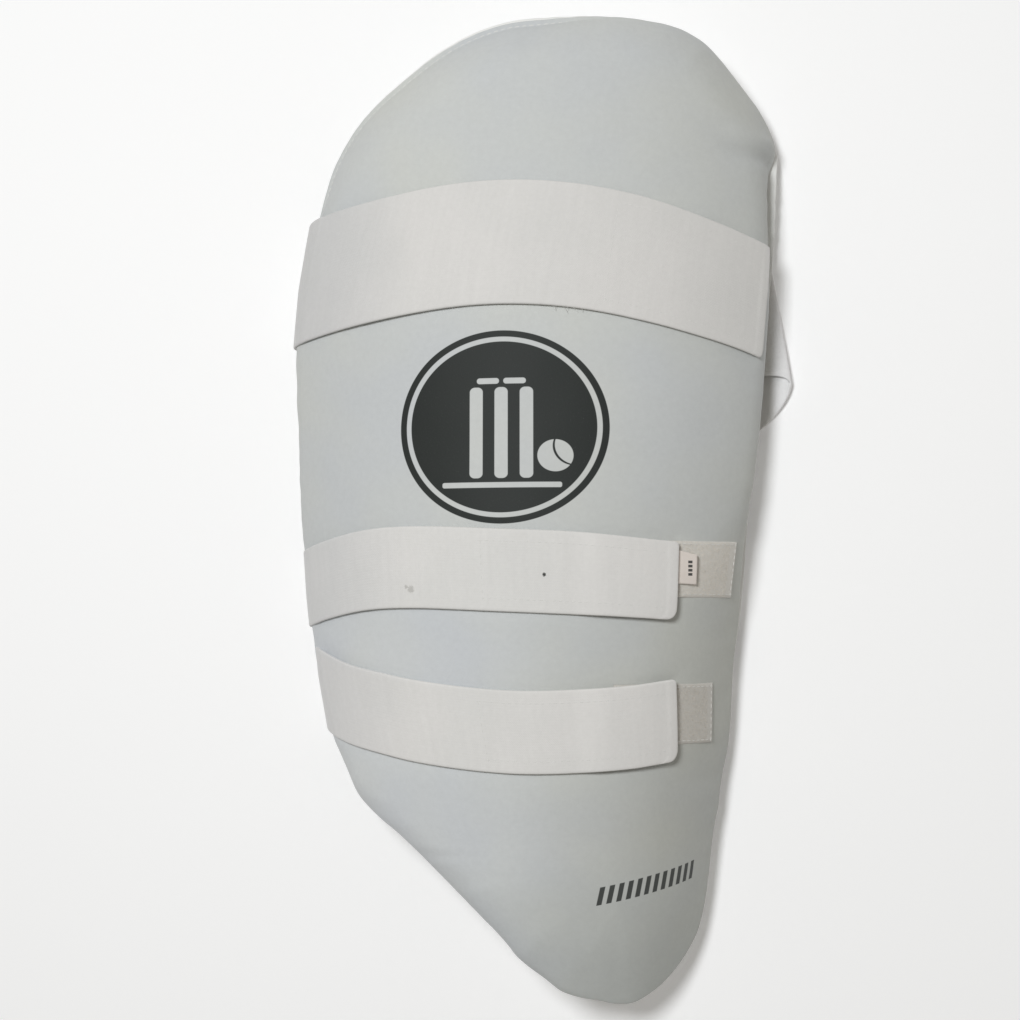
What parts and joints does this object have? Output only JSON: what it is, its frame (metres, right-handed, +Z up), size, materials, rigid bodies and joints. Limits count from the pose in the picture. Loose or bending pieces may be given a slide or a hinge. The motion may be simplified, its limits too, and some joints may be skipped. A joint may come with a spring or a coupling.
{
  "type": "cricket thigh guard",
  "caption": "Padded cricket thigh guard curved to the thigh, broad and round at the hip, narrowing to a rounded point at the knee, with elastic straps that wrap it and close at the front.",
  "frame": {"origin": "middle of the footprint, on the surface that the guard lies on", "axes": "+Y towards the hip end, +Z up out of the padded front face, +X towards the side where the straps close"},
  "size_m": [0.223, 0.4156, 0.0718],
  "materials": {
    "cover_fabric": "matt coated cotton cloth over foam",
    "lining_fabric": "matt woven cloth",
    "strap_fabric": "matt elastic webbing",
    "loop_pile": "matt loop pile",
    "label_tape": "smooth woven tape"
  },
  "bodies": {
    "root": {"pad": "cover_fabric", "lining": "lining_fabric", "waist_strap": "strap_fabric", "upper_thigh_strap": "strap_fabric", "lower_thigh_strap": "strap_fabric", "upper_loop_patch": "loop_pile", "lower_loop_patch": "loop_pile", "size_label": "label_tape"}
  },
  "joints": []
}
